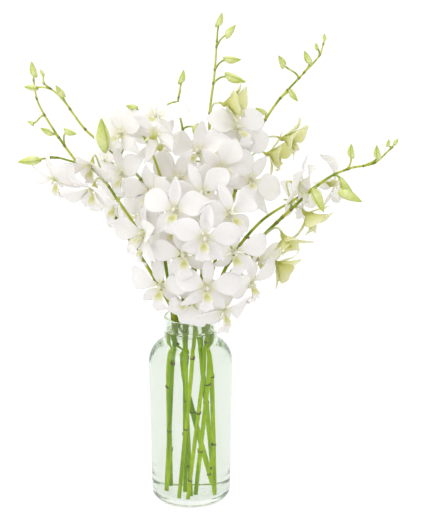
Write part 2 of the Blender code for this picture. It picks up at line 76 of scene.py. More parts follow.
# %% Helpers for finishes
def linear(code):
    """A screen's hex colour as the linear red, green, blue and alpha of a renderer."""
    shares = [int(code[place:place + 2], 16) / 255 for place in (1, 3, 5)]
    return [s / 12.92 if s <= 0.04045 else ((s + 0.055) / 1.055) ** 2.4 for s in shares] + [1.0]


def set_inputs(node, inputs):
    """Gives each input of a node its value, or the socket that it is linked to."""
    for name, value in inputs.items():
        if isinstance(value, bpy.types.NodeSocket):
            node.id_data.links.new(value, node.inputs[name])
        else:
            node.inputs[name].default_value = value


def add_node(tree, kind, inputs={}, **settings):
    """A new node with its settings and inputs."""
    node = tree.nodes.new("ShaderNode" + kind)
    for name, value in settings.items():
        setattr(node, name, value)
    set_inputs(node, inputs)
    return node


def new_material(name):
    """An empty material: its node tree, its shader, and the place of the point that is shaded."""
    material = bpy.data.materials.new(name)
    material.use_nodes = True
    tree = material.node_tree
    return material, tree, tree.nodes["Principled BSDF"], add_node(tree, "TexCoord").outputs["Object"]


def noise_of(tree, place, size, detail):
    """Noise with patches of a size in mm."""
    inputs = {"Vector": place, "Scale": 1 / (size * MM), "Detail": detail}
    return add_node(tree, "TexNoise", inputs).outputs["Fac"]


def ramp(tree, value, *stops):
    """The colour that a value picks between stops, each a position and a hex colour."""
    node = add_node(tree, "ValToRGB", {"Fac": value})
    for place, (position, colour) in enumerate(stops):
        stop = node.color_ramp.elements[place] if place < 2 else node.color_ramp.elements.new(position)
        stop.position, stop.color = position, linear(colour)
    return node.outputs["Color"]


# %% [markdown]
# The photo is a bright studio picture: white all round, with shade only where petals overlap.
# A white world gives that light from every side, more from above and behind than from the front.
# Two large soft panels add the direction that lets petals show their curves. The photo has no
# shadow on the floor, because such a picture is taken on a light table, so the floor is a plate
# lit from below, as white as what is behind. Glass in front of water in front of glass needs long
# light paths: a short one ends in the wall and leaves it black.

# %% Light and floor
WORLD_LIGHT = (0.33, 1.29)  # from the dim side and from the bright side
BRIGHT_SIDE = (-0.25, 0.15, 0.96)
FLOOR_SIDE = 30.0
FLOOR_GLOW = 0.94
LONGEST_PATH = 100  # bounces through glass and water
SOFT_PATH = 8  # bounces between matt surfaces

world = bpy.data.worlds.new("studio")
world.use_nodes = True
tree = world.node_tree
direction = add_node(tree, "TexCoord").outputs["Generated"]
upward = add_node(tree, "VectorMath", {0: direction, 1: BRIGHT_SIDE}, operation="DOT_PRODUCT")
strength = add_node(tree, "MapRange", {"Value": upward.outputs["Value"], "From Min": -1.0, "From Max": 1.0,
                                       "To Min": WORLD_LIGHT[0], "To Max": WORLD_LIGHT[1]})
set_inputs(tree.nodes["Background"], {"Color": linear("#FFFFFF"), "Strength": strength.outputs["Result"]})
bpy.context.scene.world = world
bpy.context.scene.view_settings.view_transform = "Standard"

light_paths = bpy.context.scene.cycles
for kind in ("max_bounces", "transmission_bounces", "glossy_bounces", "transparent_max_bounces"):
    setattr(light_paths, kind, LONGEST_PATH)
light_paths.diffuse_bounces = SOFT_PATH

# A panel: its place, what it is aimed at, its side and its power
PANELS = {
    "key_panel": ((-0.75, -0.5, 1.3), (-0.05, 0, 0.5), 0.9, 3.4),
    "top_panel": ((-0.2, 0.7, 1.7), (0, 0, 0.45), 1.2, 4.0),
}
for name, (place, aim, side, power) in PANELS.items():
    panel = bpy.data.lights.new(name, "AREA")
    panel.size = side
    panel.energy = power
    lamp = bpy.data.objects.new(name, panel)
    lamp.location = place
    lamp.rotation_euler = (Vector(place) - Vector(aim)).to_track_quat("Z", "Y").to_euler()
    bpy.context.collection.objects.link(lamp)

# Matt white acrylic of a light table: an even tone with the faintest grain, lit from below
acrylic, tree, shader, place = new_material("lit_matt_acrylic")
grain = noise_of(tree, place, 2.5, 3.0)
set_inputs(shader, {"Base Color": ramp(tree, grain, (0.3, "#595959"), (0.7, "#5C5C5C")), "Roughness": 0.9,
                    "Specular IOR Level": 0.1, "Emission Color": linear("#FFFFFF"),
                    "Emission Strength": FLOOR_GLOW})

bpy.ops.object.select_all(action="DESELECT")
bpy.ops.mesh.primitive_plane_add(size=FLOOR_SIDE)
floor = bpy.context.object
floor.name = "studio_floor"
floor.data.materials.append(acrylic)
print("lights:", [lamp.name for lamp in bpy.data.lights])

# %% [markdown]
# The vase is a bottle of thick moulded glass. On the real one a gather of hot glass is blown
# into a mould, which leaves a round heel, a soft shoulder and a rim with a fire-polished edge.
# The glass is thicker at the shoulder and round the floor, where the inside bends more gently.
# A turned shape like that is drawn as half of its section and spun about the middle. Here the
# section is drawn as points, the spin tool turns it, and a subdivision surface melts the corners.

# %% Vase shape
VASE_HEIGHT = 220.0
NECK_RADIUS = 29.8
NECK_FOOT = 190.0
SHOULDER_RADIUS = 48.0
SHOULDER_FOOT = 163.0
HEEL_RADIUS = 45.8
SIDE = [(46.2, 40), (46.9, 90), (47.6, 135)]  # the wall's outside, in points of radius and height
WALL = 2.8
FLOOR = 6.0
INNER_HEEL = 14.0
INNER_SHOULDER = (17.4, 23.0)  # across and up
SPIN_STEPS = 48


def spun(name, section):
    """A section of (radius, height) in mm, on the axis at both ends, spun into a closed shape."""
    mesh = bpy.data.meshes.new(name)
    shape = bpy.data.objects.new(name, mesh)
    bpy.context.collection.objects.link(shape)
    points = [(radius * MM, 0, height * MM) for radius, height in section]
    mesh.from_pydata(points, [(i, i + 1) for i in range(len(points) - 1)], [])
    bpy.ops.object.select_all(action="DESELECT")
    bpy.context.view_layer.objects.active = shape
    shape.select_set(True)
    bpy.ops.object.mode_set(mode="EDIT")
    bpy.ops.mesh.select_all(action="SELECT")
    bpy.ops.mesh.spin(steps=SPIN_STEPS, angle=2 * math.pi, center=(0, 0, 0), axis=(0, 0, 1))
    bpy.ops.mesh.select_all(action="SELECT")
    bpy.ops.mesh.remove_doubles(threshold=1e-6)
    bpy.ops.mesh.normals_make_consistent(inside=False)
    bpy.ops.object.mode_set(mode="OBJECT")
    return shape


def arc(centre, radii, start, end, steps):
    """Points of an elliptic arc about (radius, height), between two angles in degrees."""
    angles = [math.radians(start + (end - start) * step / steps) for step in range(steps + 1)]
    return [(centre[0] + radii[0] * math.cos(a), centre[1] + radii[1] * math.sin(a)) for a in angles]


def finish_with(shape, kind, **settings):
    """Adds a modifier with its settings and applies it."""
    modifier = shape.modifiers.new(kind.lower(), kind)
    for name, value in settings.items():
        setattr(modifier, name, value)
    bpy.context.view_layer.objects.active = shape
    bpy.ops.object.modifier_apply(modifier=modifier.name)


def inner_section(grown):
    """The inside from the rim to the middle of the floor, moved into the glass by grown, in mm."""
    neck = NECK_RADIUS - WALL
    points = [(neck + grown, VASE_HEIGHT - 6), (neck + grown, NECK_FOOT + 3), (neck + grown + 0.2, NECK_FOOT)]
    points += arc((neck, SHOULDER_FOOT), [radius + grown for radius in INNER_SHOULDER], 82, 0, 9)
    points += [(radius - WALL + grown, height) for radius, height in reversed(SIDE)]
    bend = INNER_HEEL + grown
    points += arc((HEEL_RADIUS - WALL - INNER_HEEL, FLOOR + INNER_HEEL), (bend, bend), 0, -86, 7)
    return points + [(24, FLOOR + 0.3 - grown), (12, FLOOR + 0.6 - grown), (0.001, FLOOR + 0.7 - grown)]


foot = [(0.001, 0.9), (26, 0.9), (31, 0.3), (35.2, 0.0)]
heel = arc((HEEL_RADIUS - 8.4, 8.0), (8.4, 8.0), -78, 0, 6)
shoulder = arc((NECK_RADIUS, SHOULDER_FOOT), (SHOULDER_RADIUS - NECK_RADIUS, 27), 0, 82, 9)
neck = [(NECK_RADIUS + 0.4, NECK_FOOT + 1.2), (NECK_RADIUS, NECK_FOOT + 4), (NECK_RADIUS, VASE_HEIGHT - 5)]
rim = arc((NECK_RADIUS - WALL / 2, VASE_HEIGHT - 1.9), (1.7, 1.9), 0, 180, 8)
vase = spun("bottle_vase", foot + heel + SIDE + shoulder + neck + rim + inner_section(0))
finish_with(vase, "SUBSURF", levels=1, render_levels=1)
print("vase:", len(vase.data.polygons), "faces,", [round(side / MM, 1) for side in vase.dimensions], "mm")

# %% [markdown]
# The glass is soda-lime glass with a trace of iron, which gives it the faint green that is
# strongest where many walls lie behind each other. So each pass through a face takes a little
# red and blue away. The mould leaves slow waves, which bend what is behind. Light bends by the
# ratio of two materials. Where the wall meets water that ratio is small, and the border hardly
# shines, so those faces get a copy of the glass with the smaller number.

# %% Glass finish
GLASS_IOR = 1.5
WATER_IOR = 1.333
WATER_LEVEL = 205.0


def relief(tree, height, strength, depth):
    """The normal of a surface with bumps."""
    inputs = {"Height": height, "Strength": strength, "Distance": depth}
    return add_node(tree, "Bump", inputs).outputs["Normal"]


def bordering(material, name, ior):
    """A copy of a material that bends light by another number."""
    twin = material.copy()
    twin.name = name
    twin.node_tree.nodes["Principled BSDF"].inputs["IOR"].default_value = ior
    return twin


# Soda-lime glass, blown in a mould: clear and smooth, with slow waves and a trace of green
glass, tree, shader, place = new_material("moulded_soda_lime_glass")
waves = noise_of(tree, place, 30, 1.0)
seeds = noise_of(tree, place, 4, 2.0)
set_inputs(shader, {"Normal": relief(tree, waves, 0.25, 0.001), "Base Color": linear("#F0F4EE"),
                    "Roughness": ramp(tree, seeds, (0.45, "#000000"), (0.75, "#2A2A2A")),
                    "Transmission Weight": 1.0, "IOR": GLASS_IOR})
vase.data.materials.append(glass)
vase.data.materials.append(bordering(glass, "glass_against_water", GLASS_IOR / WATER_IOR))
vase.data.shade_smooth()


def give_second_material(shape, takes_it):
    """Faces for which takes_it(place in mm, normal) is true get the second material."""
    for face in shape.data.polygons:
        face.material_index = int(takes_it(face.center / MM, face.normal))
    return sum(face.material_index for face in shape.data.polygons)


def is_wet(place, normal):
    """True for a face of the wall or the floor that the water touches."""
    looks_in = normal.x * place.x + normal.y * place.y < -0.01
    return place.z < WATER_LEVEL and (looks_in or (normal.z > 0.9 and place.z < 2 * FLOOR))


print("faces of the wall that meet water:", give_second_material(vase, is_wet))
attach(vase, "root")
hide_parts("glass_vase")

# %% [markdown]
# The water fills the bottle up into the neck. Where it meets the glass it creeps up a little, in
# a rim called a meniscus. The water is drawn a hair into the wall, so that no film of air is left
# between. The wall has already bent the light there, so only the top of the water does it again.

# %% Water
INTO_GLASS = 0.12

section = [(0.001, WATER_LEVEL), (18, WATER_LEVEL), (23.6, WATER_LEVEL + 0.15), (25.6, WATER_LEVEL + 0.7)]
section += [(NECK_RADIUS - WALL + INTO_GLASS, WATER_LEVEL + 1.9)]
water = spun("vase_water", section + inner_section(INTO_GLASS)[1:])
finish_with(water, "SUBSURF", levels=1, render_levels=1)
water.data.shade_smooth()

# Tap water: clear, with a still surface
clear_water, tree, shader, place = new_material("still_tap_water")
ripples = noise_of(tree, place, 20, 1.0)
set_inputs(shader, {"Normal": relief(tree, ripples, 0.05, 0.001), "Base Color": linear("#FFFFFF"),
                    "Roughness": 0.0, "Transmission Weight": 1.0, "IOR": WATER_IOR})
water.data.materials.append(clear_water)
water.data.materials.append(bordering(clear_water, "water_against_glass", 1.0))
give_second_material(water, lambda place, normal: normal.z < 0.1 or place.z < WATER_LEVEL - 1)
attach(water, "root")
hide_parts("water")
print("water:", len(water.data.polygons), "faces, up to", WATER_LEVEL, "mm")

# %% [markdown]
# A dendrobium bloom has six blades round a short column: three narrow sepals behind, two broad
# petals, and a lip with three lobes that leans forward below. A blade is made as a paper flower
# maker would cut it: a strip that starts narrow at the root and is drawn out step by step, each
# step as wide and as high as the petal is there. Edit mode's extrude, move and resize do that.

# %% One blade
# A station: how far from the root, half the width, height in front, and lift of the edges (mm)
PETAL = [(-1.5, 2.2, -0.3, 0), (4, 4.8, 0.9, 0.6), (9, 9.0, 1.8, 1.4), (15, 12.6, 2.4, 2.0),
         (21, 13.0, 2.6, 2.0), (26.5, 10.2, 2.2, 1.4), (31, 5.2, 1.4, 0.5), (33.5, 0.8, 0.6, 0)]
UPPER_SEPAL = [(-1.5, 2.4, 0.2, 0), (4, 4.4, -0.6, 0.3), (9.8, 6.6, -1.6, 0.6), (16, 6.8, -2.1, 0.9),
               (21.5, 5.4, -2.7, 0.9), (26.5, 3.0, -3.9, 0.5), (30, 0.5, -5.0, 0)]
LOWER_SEPAL = [(-1.5, 2.6, 0.2, 0), (5, 5.8, -0.6, 0.4), (12.5, 7.8, -1.9, 0.9), (19, 6.3, -3.0, 1.0),
               (25, 3.4, -4.4, 0.5), (30, 0.5, -5.6, 0)]
LIP = [(-1, 2.6, -0.4, 1.5), (1.5, 4.6, 1.2, 5.0), (4.5, 5.6, 3.0, 7.0), (8, 5.2, 5.2, 5.4),
       (11, 6.8, 7.6, 2.6), (14.5, 8.6, 8.8, 0.6), (18, 7.2, 8.0, -0.8), (20.6, 2.4, 6.4, -1.2)]
BLADE_THICKNESS = 0.55


def pick(shape, wanted):
    """In edit mode, selects only the points whose place passes the test."""
    bpy.ops.mesh.select_all(action="DESELECT")
    points = bmesh.from_edit_mesh(shape.data)
    for point in points.verts:
        point.select = wanted(point.co)
    points.select_flush(True)
    bmesh.update_edit_mesh(shape.data)


def new_grid(name, across):
    """A strip of faces side by side, in edit mode, to be shaped into a blade."""
    bpy.ops.object.select_all(action="DESELECT")
    bpy.ops.mesh.primitive_grid_add(x_subdivisions=1, y_subdivisions=across, size=2 * MM)
    shape = bpy.context.object
    shape.name = name
    bpy.ops.object.mode_set(mode="EDIT")
    bpy.ops.mesh.select_mode(type="VERT")
    return shape


def grow_blade(name, stations, across, rib=0.0):
    """A blade along X from its root at the origin, its front up, drawn out station by station."""
    shape = new_grid(name, across)
    reach, half, front, lift = [value * MM for value in stations[1]]
    bpy.ops.mesh.select_all(action="SELECT")
    bpy.ops.transform.resize(value=(reach / (2 * MM), half / MM, 1))
    bpy.ops.transform.translate(value=(reach / 2, 0, 0))
    pick(shape, lambda point: point.x < reach / 2)
    bpy.ops.transform.resize(value=(1, stations[0][1] * MM / half, 1), center_override=(0, 0, 0))
    pick(shape, lambda point: point.x > reach / 2)
    bpy.ops.transform.translate(value=(0, 0, front))
    for (reach, half, front, lift), before in zip(stations[2:], stations[1:]):
        far = before[0] * MM
        pick(shape, lambda point: point.x > far - 1e-6)
        step = ((reach - before[0]) * MM, 0, (front - before[2]) * MM)
        bpy.ops.mesh.extrude_region_move(TRANSFORM_OT_translate={"value": step})
        bpy.ops.transform.resize(value=(1, half / before[1], 1), center_override=(reach * MM, 0, front * MM))
    for reach, half, front, lift in stations:
        for share in [2 * column / across for column in range(1, across // 2 + 1)]:
            here, aside = reach * MM, half * share * MM
            pick(shape, lambda point: abs(point.x - here) < 1e-6 and abs(abs(point.y) - aside) < 1e-5)
            bpy.ops.transform.translate(value=(0, 0, lift * share ** 2 * MM))
    pick(shape, lambda point: abs(point.y) < 1e-6)
    bpy.ops.transform.translate(value=(0, 0, -rib * MM))
    bpy.ops.object.mode_set(mode="OBJECT")
    return shape


def mark(shape, name, value_at):
    """Writes a number on every point, which a finish can read as an attribute."""
    values = shape.data.attributes.new(name, "FLOAT", "POINT")
    for point, value in zip(shape.data.vertices, values.data):
        value.value = value_at(point.co / MM)


def half_width(stations, reach):
    """Half the width of a blade at a distance from its root."""
    for (near, narrow, _, _), (far, wide, _, _) in zip(stations, stations[1:]):
        if reach <= far:
            return narrow + (wide - narrow) * max(0.0, (reach - near) / (far - near))
    return stations[-1][1]


blades = {}
for name, stations, across, rib in (("petal", PETAL, 4, 0.35), ("upper_sepal", UPPER_SEPAL, 2, 0.3),
                                    ("lower_sepal", LOWER_SEPAL, 2, 0.3), ("lip", LIP, 6, 0.4)):
    blade = grow_blade(name, stations, across, rib)
    finish_with(blade, "SUBSURF", levels=2, render_levels=2)
    length = stations[-1][0]
    mark(blade, "along", lambda p: p.x / length)
    mark(blade, "across", lambda p: p.y / max(0.5, half_width(stations, p.x)))
    if name == "lip":
        mark(blade, "green", lambda p: 0.75 * max(0.0, 1 - abs(p.x - 4) / 6) * max(0.0, 1 - (p.y / 6) ** 2))
    else:
        mark(blade, "green", lambda p: 0.35 * max(0.0, 1 - p.x / length / 0.22))
    finish_with(blade, "SOLIDIFY", thickness=BLADE_THICKNESS * MM, offset=0.0)
    blade.data.shade_smooth()
    blades[name] = blade
    print(name, len(blade.data.polygons), "faces,", [round(side / MM, 1) for side in blade.dimensions], "mm")

# %% [markdown]
# In the middle of the bloom stands the column, a stub that carries the pollen under a small cap.
# Behind, the sepals close to a funnel with a chin, which runs into the stalk. Both are tubes
# that change width along their length, so a ring of points is extruded and resized again and again.

# %% Column and funnel
HUB_RADIUS = 4.2
ROOT_BACK = 11.0


def draw_out(name, sides, rings, levels):
    """A closed round form along Z from rings of (height, radius, shift in Y), in mm."""
    height, radius, shift = rings[0]
    bpy.ops.object.select_all(action="DESELECT")
    bpy.ops.mesh.primitive_circle_add(vertices=sides, radius=radius * MM, fill_type="NGON",
                                      location=(0, shift * MM, height * MM))
    shape = bpy.context.object
    shape.name = name
    bpy.ops.object.transform_apply(location=True, rotation=False, scale=False)
    bpy.ops.object.mode_set(mode="EDIT")
    bpy.ops.mesh.select_all(action="SELECT")
    for (height, radius, shift), before in zip(rings[1:], rings):
        step = (0, (shift - before[2]) * MM, (height - before[0]) * MM)
        bpy.ops.mesh.extrude_region_move(TRANSFORM_OT_translate={"value": step})
        share = radius / before[1]
        bpy.ops.transform.resize(value=(share, share, 1), center_override=(0, shift * MM, height * MM))
    bpy.ops.mesh.select_all(action="SELECT")
    bpy.ops.mesh.normals_make_consistent(inside=False)
    bpy.ops.object.mode_set(mode="OBJECT")
    finish_with(shape, "SUBSURF", levels=levels, render_levels=levels)
    shape.data.shade_smooth()
    return shape


column = draw_out("column", 8, [(-1, 3.2, 0), (0.6, 2.6, 0.3), (2.6, 1.9, 0.7), (4.6, 1.8, 0.6),
                                (6.0, 1.6, 0.1), (6.9, 1.0, -0.4), (7.1, 0.4, -0.6)], 1)
mark(column, "green", lambda p: max(0.15, 0.7 - p.z / 7))
funnel = draw_out("funnel", 8, [(-ROOT_BACK, 1.1, 0), (-9, 1.5, -0.4), (-6.5, 2.7, -2.2), (-4.4, 3.6, -2.2),
                                (-2.4, 4.2, -0.9), (-0.4, 4.6, 0), (0.5, 3.8, 0)], 1)
mark(funnel, "green", lambda p: min(1.0, max(0.0, 0.25 - p.z / 9)))
for part in (column, funnel):
    mark(part, "along", lambda p: 0.1)
    mark(part, "across", lambda p: math.atan2(p.y, p.x) / math.pi)
    print(part.name, len(part.data.polygons), "faces")

# %% [markdown]
# The same blades serve every bloom: an open bloom holds them flat, a cupped one tilts them
# forward, a swept one back, and a bloom that is still opening holds them nearly shut and is
# greener. On the real plant no two blooms are alike, so each blade is also leaned, twisted, bowed
# and ruffled by chance. The draw starts from the bloom's number and is the same every time.

# %% A bloom from its blades
LIP_FRONT = 2.2
LIP_TILT = 0.4
ANGLES = [("petal", 21), ("upper_sepal", 90), ("petal", 159),
          ("lower_sepal", 226), ("lip", 270), ("lower_sepal", 314)]
# A kind: how far its blades tilt forward in degrees, its size, and how green it still is
KINDS = {"open": (0, 1.0, 0.0), "cupped": (24, 0.95, 0.03), "swept": (-14, 1.0, 0.03),
         "opening": (44, 0.85, 0.62)}
MOST_LEAN = 10.0  # degrees
MOST_TWIST = 14.0
BOW = (-6.0, 3.0)  # how far a blade may arch at its tip, in mm
TIP = (-5.0, 2.0)  # and its last third curl
FOLD = (-2.0, 4.5)  # and its sides rise
RUFFLE = 1.6
BROAD = (0.95, 1.22)  # the width of a bloom's blades


def joined(name, parts):
    """One mesh object from several, which are used up."""
    bpy.ops.object.select_all(action="DESELECT")
    for part in parts:
        part.select_set(True)
    bpy.context.view_layer.objects.active = parts[0]
    bpy.ops.object.join()
    parts[0].name = name
    return parts[0]


def copy_of(shape, place):
    """A copy with its own mesh, moved and turned by a matrix."""
    twin = bpy.data.objects.new(shape.name + "_copy", shape.data.copy())
    twin.data.transform(place)
    bpy.context.collection.objects.link(twin)
    return twin


def curl(mesh, bow, tip, fold, twist, broad, ruffle, waves, phase):
    """Arches, folds and twists a blade along its rib, and puts waves in its edges."""
    along, across = mesh.attributes["along"].data, mesh.attributes["across"].data
    for point, far, side in zip(mesh.vertices, along, across):
        reach, edge = max(0.0, far.value), min(1.0, abs(side.value))
        rise = bow * reach ** 2 + tip * 9 * max(0.0, reach - 0.66) ** 2
        rise += fold * edge ** 1.6 * math.sin(math.pi * min(1.0, reach * 1.1))
        rise += ruffle * reach * edge ** 2 * math.sin(phase + (waves + side.value) * reach)
        point.co.z += rise * MM + point.co.y * math.tan(twist * reach)
        point.co.y *= 1 + (broad - 1) * min(1.0, 3 * reach)


def grow_bloom(name, kind, draw):
    """A bloom at the origin, looking along Z."""
    tilt, size, youth = KINDS[kind]
    broad = draw.uniform(*BROAD)
    parts = [copy_of(column, Matrix.Identity(4)), copy_of(funnel, Matrix.Identity(4))]
    for blade_name, angle in ANGLES:
        is_lip = blade_name == "lip"
        front, lean, free = (LIP_FRONT, tilt * LIP_TILT, 0.2) if is_lip else (0, tilt, 1.0)
        blade = copy_of(blades[blade_name], Matrix.Identity(4))
        curl(blade.data, draw.uniform(*BOW) * free, draw.uniform(*TIP) * free, draw.uniform(*FOLD) * free,
             math.radians(draw.uniform(-MOST_TWIST, MOST_TWIST)) * free, 1.0 if is_lip else broad,
             RUFFLE * (1.5 if is_lip else draw.uniform(0.3, 1.0)), 16 if is_lip else 8, draw.uniform(0, 6.3))
        lean += draw.uniform(-MOST_LEAN, MOST_LEAN) * free
        twist = draw.uniform(-MOST_TWIST, MOST_TWIST) * free
        turn = Matrix.Rotation(math.radians(angle + draw.uniform(-4, 4) * free), 4, "Z")
        sway = Matrix.Rotation(-math.radians(lean), 4, "Y") @ Matrix.Rotation(math.radians(twist), 4, "X")
        blade.data.transform(turn @ Matrix.Translation((HUB_RADIUS * MM, 0, front * MM)) @ sway)
        parts.append(blade)
    bloom = joined(name, parts)
    for value, far in zip(bloom.data.attributes["green"].data, bloom.data.attributes["along"].data):
        value.value = min(1.0, value.value + youth * (1.3 - 0.7 * min(1.0, far.value)))
    bloom.data.transform(Matrix.Scale(size, 4))
    return bloom


# %% [markdown]
# A petal is a thin living skin full of water. Light enters it, scatters and leaves again near by,
# or on the other side, so it glows where it is lit from behind. That is subsurface scattering.
# Its white is soft and never quite pure, fine veins run along it, and near the throat it turns to
# a pale yellow-green. The attributes that the blades carry say where that is.

# %% Petal finish
def read_mark(tree, name):
    """The number that a mesh carries on its points under a name."""
    return add_node(tree, "Attribute", attribute_name=name).outputs["Fac"]


def mixed(tree, share, first, second, blend="MULTIPLY"):
    """The first colour with a share of the second laid over it."""
    inputs = {"Factor": share, 6: first, 7: second}
    return add_node(tree, "Mix", inputs, data_type="RGBA", blend_type=blend).outputs[2]


# Living petal: soft and waxy, with faint veins about a millimetre apart and a yellow-green throat
petal_skin, tree, shader, place = new_material("waxy_petal")
blade_place = add_node(tree, "CombineXYZ", {"X": read_mark(tree, "across"), "Y": read_mark(tree, "along")})
veins = add_node(tree, "TexWave", {"Vector": blade_place.outputs["Vector"], "Scale": 3.6, "Distortion": 1.2,
                                   "Detail": 2.0, "Detail Scale": 1.5},
                 wave_type="BANDS", bands_direction="X").outputs["Fac"]
clouds = noise_of(tree, place, 12, 3.0)
white = ramp(tree, clouds, (0.35, "#F3EFED"), (0.65, "#FAF7F5"))
veined = mixed(tree, veins, linear("#EBE5E4"), white, "MIX")
throat = ramp(tree, read_mark(tree, "green"), (0.0, "#FFFFFF"), (1.0, "#C6CC66"), (0.3, "#F0F3D4"),
              (0.65, "#DDE29C"))
tinted = mixed(tree, 1.0, veined, throat)
set_inputs(shader, {"Base Color": tinted, "Normal": relief(tree, veins, 0.4, 0.0003), "Roughness": 0.5,
                    "IOR": 1.4, "Sheen Weight": 0.1, "Subsurface Weight": 1.0,
                    "Subsurface Radius": (1.0, 1.0, 1.0), "Subsurface Scale": 0.0015})
print("petal finish:", petal_skin.name)

# %% [markdown]
# Each bloom takes the place of one CAD solid. The solid itself says where it is: its two points
# with the most edges are the tip of the column and the end of the stalk, and the two neighbours
# nearest to the column's tip are the root of the lip, which hangs below. So the fine bloom lands
# exactly on the plain one, whichever way it looks. Slow noise then runs through the whole bloom.
# The noise gets a seed, because it would otherwise start from the clock.

# %% Place the blooms
COLUMN_FRONT = 6.0
FLUTTER = 2.3  # how far a blade's tip strays, in mm
NOISE_SEED = 1


def seat_of(solid):
    """The matrix that carries a bloom from the origin to where its CAD solid is."""
    points = bmesh.new()
    points.from_mesh(solid.data)
    bmesh.ops.remove_doubles(points, verts=points.verts[:], dist=1e-6)
    hubs = sorted(points.verts, key=lambda point: len(point.link_edges))[-2:]
    tip, back = sorted(hubs, key=lambda point: min(edge.calc_length() for edge in point.link_edges))
    facing = (tip.co - back.co).normalized()
    lip_root = sorted(tip.link_edges, key=lambda edge: edge.calc_length())[:2]
    down = sum((edge.other_vert(tip).co - tip.co for edge in lip_root), Vector())
    up = -(down - facing * down.dot(facing)).normalized()
    centre = back.co + (tip.co - back.co) * ROOT_BACK / (ROOT_BACK + COLUMN_FRONT)
    points.free()
    return Matrix.Translation(centre) @ Matrix((up.cross(facing), up, facing)).transposed().to_4x4()


def flutter(mesh, number, size):
    """Moves a bloom's points by slow noise that grows from its middle to its tips."""
    for point in mesh.vertices:
        reach = Vector((point.co.x, point.co.y, 0)).length / (35 * MM * size)
        stray = noise.noise_vector(point.co / (22 * MM) + Vector((number * 7.3, number * 3.1, 0)))
        point.co += stray * FLUTTER * MM * min(1.0, reach) ** 1.5


noise.seed_set(NOISE_SEED)
seats, blooms = {}, []
for name in sorted(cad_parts):
    if not name.startswith("bloom_"):
        continue
    _, digits, kind = name.split("_")
    number = int(digits)
    seats[number] = seat_of(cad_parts[name]), kind
    bloom = grow_bloom("orchid_bloom_" + digits, kind, random.Random(number))
    flutter(bloom.data, number, KINDS[kind][1])
    bloom.data.transform(seats[number][0])
    bloom.data.materials.clear()
    bloom.data.materials.append(petal_skin)
    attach(bloom, "root")
    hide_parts(name)
    blooms.append(bloom)
for shape in list(blades.values()) + [column, funnel]:
    bpy.data.objects.remove(shape)
triangles = sum(len(face.vertices) - 2 for face in bloom.data.polygons)
print("blooms:", len(seats), "each about", triangles, "triangles")

# %% [markdown]
# A stem is one smooth line that thins upwards. It stands straight in the bottle, then arches out
# between its blooms. The line repeats the points of the CAD route, so the fine stem runs inside
# the plain one. Stalks leave it in a short arch and end at the back of a bloom or bud.

# %% Lines of the stems and stalks
STEMS = {
    "left_arch": ((15, 21), [(-14, 12), (-43, 15, 263), (-74, 28, 309), (-102, 40, 352), (-138, 50, 399),
                             (-157, 52, 428), (-170, 52, 454), (-173, 48, 478)]),
    "left_high": ((-15, 21), [(-19, 0), (-26, -4, 273), (-37, -8, 335), (-51, -8, 376), (-86, -4, 410),
                              (-112, -2, 432), (-138, 4, 466), (-156, 8, 480)]),
    "left_low": ((-21, 0), [(-15, -12), (-29, -20, 264), (-50, -30, 316), (-73, -38, 358), (-99, -45, 396),
                            (-131, -50, 410), (-146, -52, 413)]),
    "left_middle": ((0, -16), [(-6, -17), (-9, -26, 271), (-15, -30, 330), (-27, -28, 374), (-41, -26, 416),
                               (-52, -28, 438), (-54, -28, 458)]),
    "middle_thin": ((-5, 1), [(-4, 8), (3, 14, 269), (5, 24, 340), (-1, 29, 395), (-9, 30, 432),
                              (-13, 30, 456), (-10, 30, 470)]),
    "middle_tall": ((21, -6), [(5, 16), (13, 22, 262), (20, 26, 345), (22, 25, 404), (22, 22, 446),
                               (27, 18, 488), (30, 15, 531)]),
    "right_high": ((24, -19), [(14, 13), (20, 17, 245), (43, 38, 328), (69, 48, 405), (95, 48, 451),
                               (124, 44, 485), (142, 41, 506), (146, 40, 519)]),
    "right_wide": ((-3, -29), [(17, -9), (41, -13, 266), (68, -20, 305), (105, -26, 345), (146, -25, 382),
                               (172, -23, 394), (198, -20, 399), (216, -19, 415)]),
    "right_back": ((4, -10), [(20, 0), (39, 9, 271), (77, 19, 322), (123, 28, 351), (150, 30, 369)]),
    "front": ((-12, -26), [(5, -20), (4, -30, 256), (8, -48, 300), (12, -60, 345)]),
}
